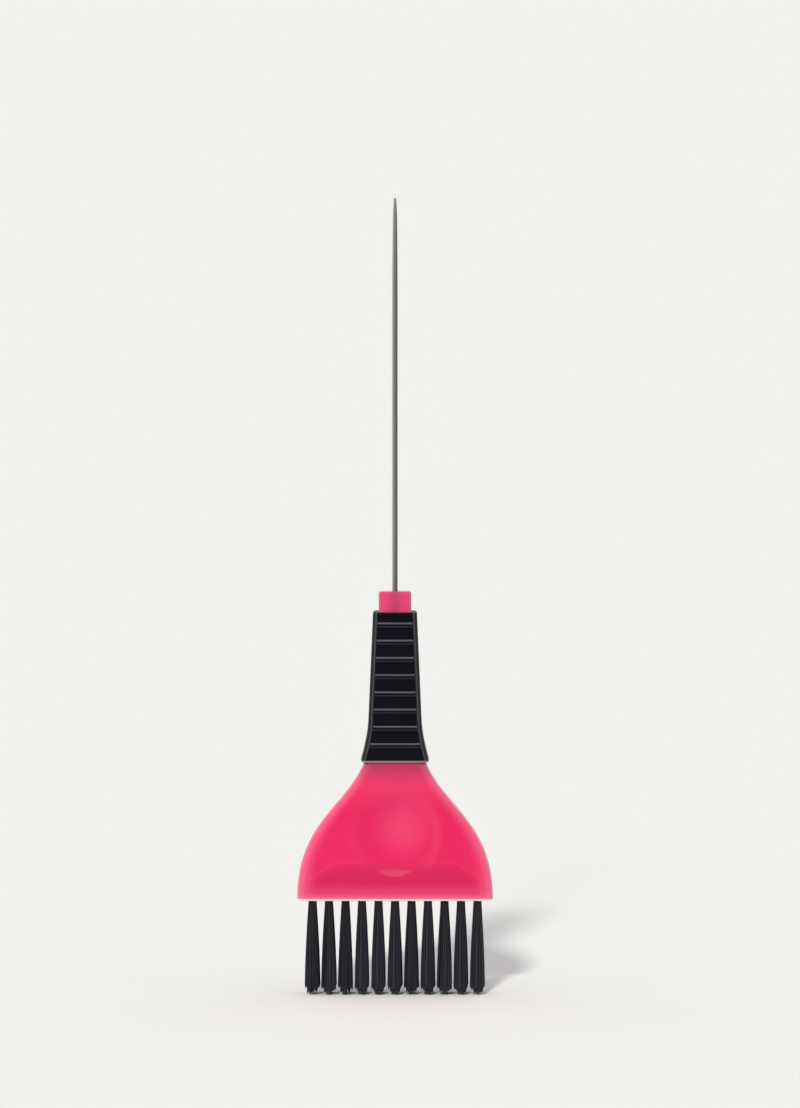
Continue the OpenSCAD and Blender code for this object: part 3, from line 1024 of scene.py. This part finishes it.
# %% [markdown]
# ## The studio
# The brush stands on a plain pale floor that runs on into a background of the same tone. Most of the
# light is a bright room, made by the world: a formula on the direction gives its walls, its ceiling
# and one softbox in front of the brush. A wide sun from the front left adds the soft shadow behind.
# The camera sees a plain background instead of the room.

# %% Floor
FLOOR_SIZE = 600
bpy.ops.object.select_all(action="DESELECT")
bpy.ops.mesh.primitive_plane_add(size=FLOOR_SIZE, location=(0, 0, 0))
floor = bpy.context.object
floor.name = "studio_floor"
floor.visible_glossy = False
BACKGROUND = (0.871, 0.871, 0.855, 1)


def pale_floor(sheet):
    return {"Base Color": (0.80, 0.80, 0.79, 1), "Roughness": 0.9}


dress(floor, finish_of("studio_floor", pale_floor, Specular_IOR_Level=0.0))
floor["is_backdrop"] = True

# %% The room's light
world = bpy.data.worlds.new("studio")
bpy.context.scene.world = world
world.use_nodes = True
sheet = Sheet(world.node_tree)
way = sheet.node("ShaderNodeTexCoord", {}, {}, "Generated")
way_x, way_y, way_z = (sheet.node("ShaderNodeSeparateXYZ", {}, {0: way}, i) for i in range(3))
behind_camera = way_y.ramp(-0.35, -0.88)
walls = abs(way_z).ramp(0.75, 0.0)
lamp_height = way_z.ramp(0.243, 0.250) * way_z.ramp(0.50, 0.46)
lamp = lamp_height * abs(way_x).ramp(0.42, 0.38) * way_y.ramp(0.0, -0.1)
strength = (0.665 + walls * 0.33) * (1 - behind_camera * 0.84) + lamp * 1.1
room = sheet.node("ShaderNodeBackground", {}, {"Color": (1.0, 0.998, 0.99, 1), "Strength": strength})
plain = sheet.node("ShaderNodeBackground", {}, {"Color": BACKGROUND, "Strength": 1.0})
seen = sheet.node("ShaderNodeLightPath", {}, {}, "Is Camera Ray")
shown = sheet.node("ShaderNodeMixShader", {}, {0: seen, 1: room, 2: plain})
sheet.node("ShaderNodeOutputWorld", {}, {"Surface": shown})

# %% The sun
SUN_SIZE = math.radians(6)
LIGHT_WAY = Vector((0.33, 1.95, -1.0))
bpy.ops.object.light_add(type="SUN", location=-LIGHT_WAY)
sun = bpy.context.object
sun.data.energy = 3.1
sun.data.angle = SUN_SIZE
sun.data.color = (1.0, 0.992, 0.98)
sun.visible_glossy = False
sun.rotation_mode = "QUATERNION"
sun.rotation_quaternion = LIGHT_WAY.to_track_quat("-Z", "Y")

# %% [markdown]
# ## The camera
# The brush is seen from the front, a little above its own height, through a long lens that keeps its
# sides straight.

# %% Camera
FAR = 2.5
LIFT = math.radians(3.75)
SEEN_HEIGHT = 0.3214
aim = Vector((0.00145, 0, 0.1282))
bpy.ops.object.camera_add(location=aim + FAR * Vector((0, -math.cos(LIFT), math.sin(LIFT))))
camera = bpy.context.object
camera.rotation_mode = "QUATERNION"
camera.rotation_quaternion = (aim - camera.location).to_track_quat("-Z", "Y")
camera.data.lens = camera.data.sensor_width * FAR / SEEN_HEIGHT
camera.data.clip_end = 400
bpy.context.scene.camera = camera
bpy.context.scene.view_settings.view_transform = "Standard"

# %% Sizes, and the end
low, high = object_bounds()
print("visual box, low and high:", low, high)
